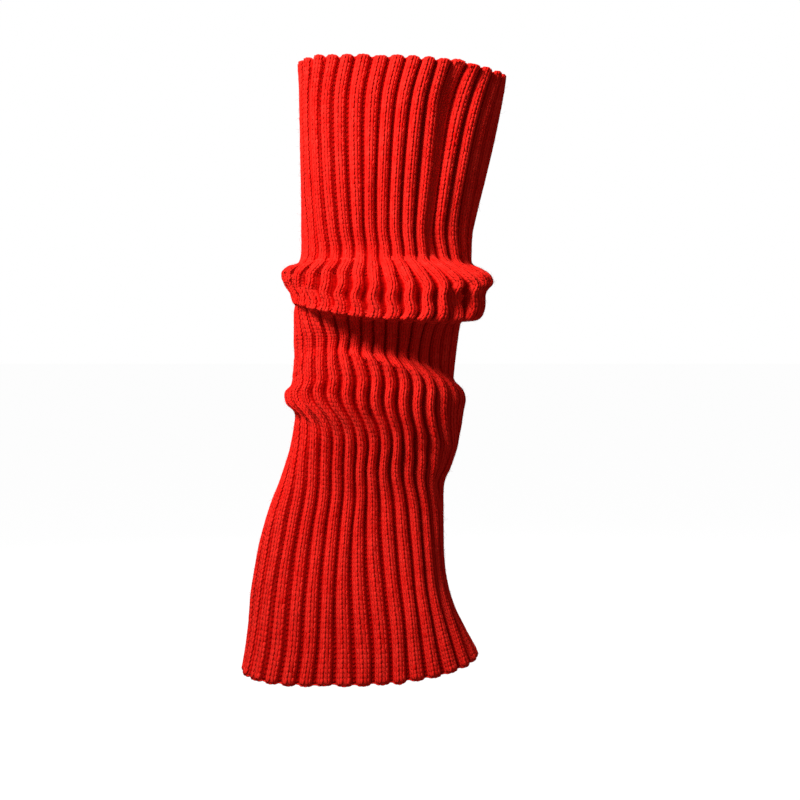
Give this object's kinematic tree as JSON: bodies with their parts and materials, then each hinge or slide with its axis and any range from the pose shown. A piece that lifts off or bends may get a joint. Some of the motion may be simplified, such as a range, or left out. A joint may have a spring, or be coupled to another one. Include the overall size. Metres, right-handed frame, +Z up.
{
  "type": "leg warmer",
  "caption": "Rib-knit leg warmer worn slouched: an open tube with a deep roll under the calf, a soft lip and a flared hem.",
  "frame": {"origin": "on the leg's middle line, at the height where the tube grips the calf, just above the big roll", "axes": "+Z up the leg, +X to the shin side, -Y to the side of the leg that the picture shows"},
  "size_m": [0.1756, 0.1125, 0.4057],
  "materials": {
    "red_rib_knit": "chunky two-by-two rib in soft, slightly fuzzy yarn"
  },
  "bodies": {
    "root": {"rib_tube": "red_rib_knit"}
  },
  "joints": []
}
